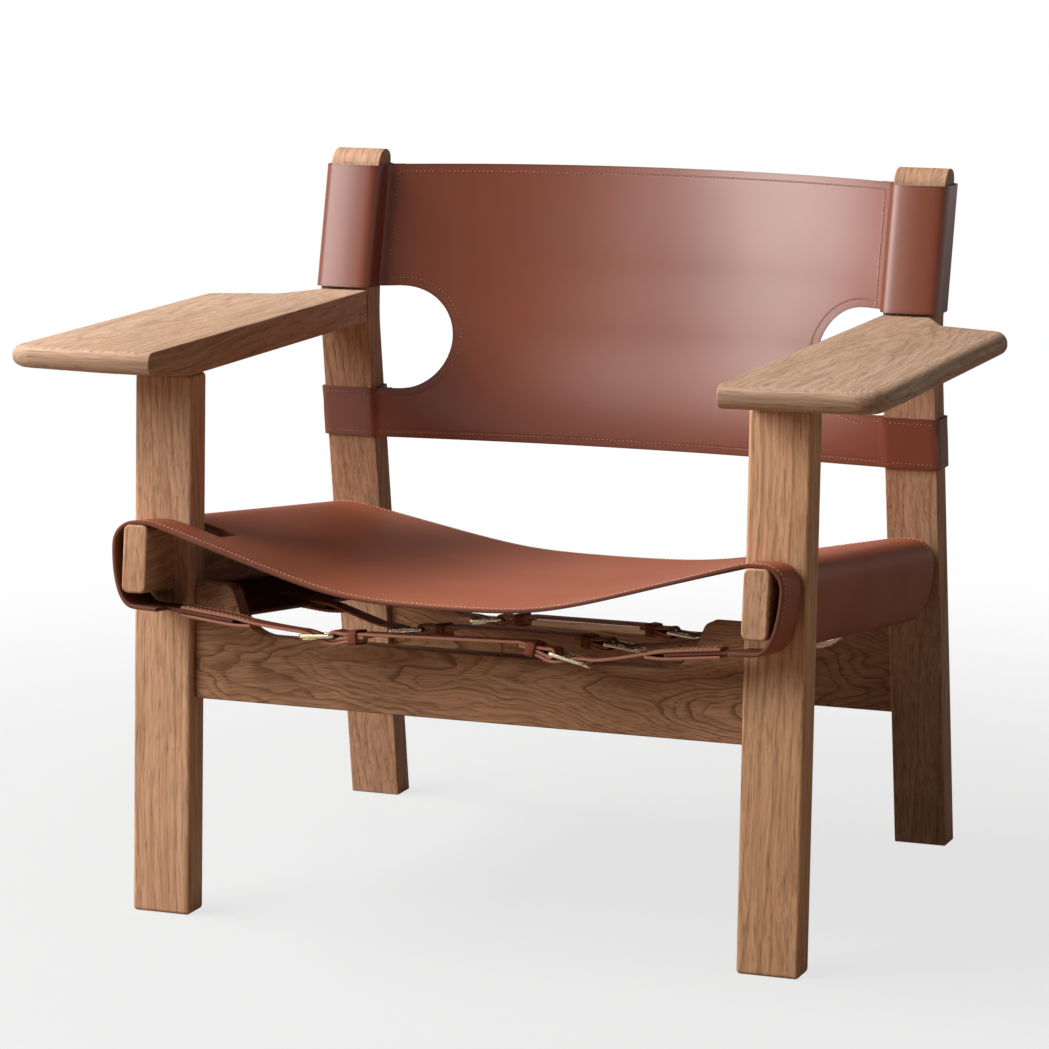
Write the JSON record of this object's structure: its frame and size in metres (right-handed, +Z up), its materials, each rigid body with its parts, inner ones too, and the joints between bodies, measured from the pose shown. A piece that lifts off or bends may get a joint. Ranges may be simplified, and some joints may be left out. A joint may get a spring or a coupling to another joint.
{
  "type": "leather sling lounge chair",
  "caption": "Low lounge chair with a wide-armed oak frame, a leather seat sling buckled beneath the side rails and a leather back sling sewn round the rear posts.",
  "frame": {"origin": "on the floor, below the middle of the chair's overall box", "axes": "+Z up, -Y towards the front edge of the seat, +X towards the right arm as seen from the front"},
  "size_m": [0.825, 0.6034, 0.67],
  "materials": {
    "oak": "soaped or lightly oiled, with open straight and cathedral grain",
    "leather": "smooth saddle leather with a soft sheen and stitched, paler cut edges",
    "brass": "polished"
  },
  "bodies": {
    "chair": {"front_leg_left": "oak", "rear_leg_left": "oak", "side_rail_left": "oak", "armrest_left": "oak", "arm_dowel_inner_left": "oak", "arm_dowel_outer_left": "oak", "front_leg_right": "oak", "rear_leg_right": "oak", "side_rail_right": "oak", "armrest_right": "oak", "arm_dowel_inner_right": "oak", "arm_dowel_outer_right": "oak", "front_stretcher": "oak", "rear_stretcher": "oak", "seat_sling": "leather", "back_sling": "leather", "centre_strap_front": "leather", "centre_strap_middle": "leather", "centre_strap_rear": "leather", "strap_end_front_left": "leather", "strap_keeper_front_left": "leather", "strap_end_front_right": "leather", "strap_keeper_front_right": "leather", "strap_end_middle_left": "leather", "strap_keeper_middle_left": "leather", "strap_end_middle_right": "leather", "strap_keeper_middle_right": "leather", "strap_end_rear_left": "leather", "strap_keeper_rear_left": "leather", "strap_end_rear_right": "leather", "strap_keeper_rear_right": "leather", "buckle_frame_front_left": "brass", "buckle_frame_front_right": "brass", "buckle_frame_middle_left": "brass", "buckle_frame_middle_right": "brass", "buckle_frame_rear_left": "brass", "buckle_frame_rear_right": "brass"},
    "prong_front_left": {"buckle_prong_front_left": "brass"},
    "prong_front_right": {"buckle_prong_front_right": "brass"},
    "prong_middle_left": {"buckle_prong_middle_left": "brass"},
    "prong_middle_right": {"buckle_prong_middle_right": "brass"},
    "prong_rear_left": {"buckle_prong_rear_left": "brass"},
    "prong_rear_right": {"buckle_prong_rear_right": "brass"}
  },
  "joints": [
    {"name": "prong_turn_front_left", "type": "hinge", "parent": "chair", "child": "prong_front_left", "pos_m": [-0.107, -0.24982, 0.27978], "axis": [0, -0.9925, 0.1219], "range_deg": [0, 25]},
    {"name": "prong_turn_front_right", "type": "hinge", "parent": "chair", "child": "prong_front_right", "pos_m": [0.101, -0.24982, 0.27978], "axis": [0, 0.9925, -0.1219], "range_deg": [0, 25]},
    {"name": "prong_turn_middle_left", "type": "hinge", "parent": "chair", "child": "prong_middle_left", "pos_m": [-0.107, -0.04335, 0.24637], "axis": [0, -0.9925, 0.1219], "range_deg": [0, 25]},
    {"name": "prong_turn_middle_right", "type": "hinge", "parent": "chair", "child": "prong_middle_right", "pos_m": [0.077, -0.04335, 0.24637], "axis": [0, 0.9925, -0.1219], "range_deg": [0, 25]},
    {"name": "prong_turn_rear_left", "type": "hinge", "parent": "chair", "child": "prong_rear_left", "pos_m": [-0.107, 0.16162, 0.21717], "axis": [0, -0.9925, 0.1219], "range_deg": [0, 25]},
    {"name": "prong_turn_rear_right", "type": "hinge", "parent": "chair", "child": "prong_rear_right", "pos_m": [0.068, 0.16162, 0.21717], "axis": [0, 0.9925, -0.1219], "range_deg": [0, 25]}
  ]
}
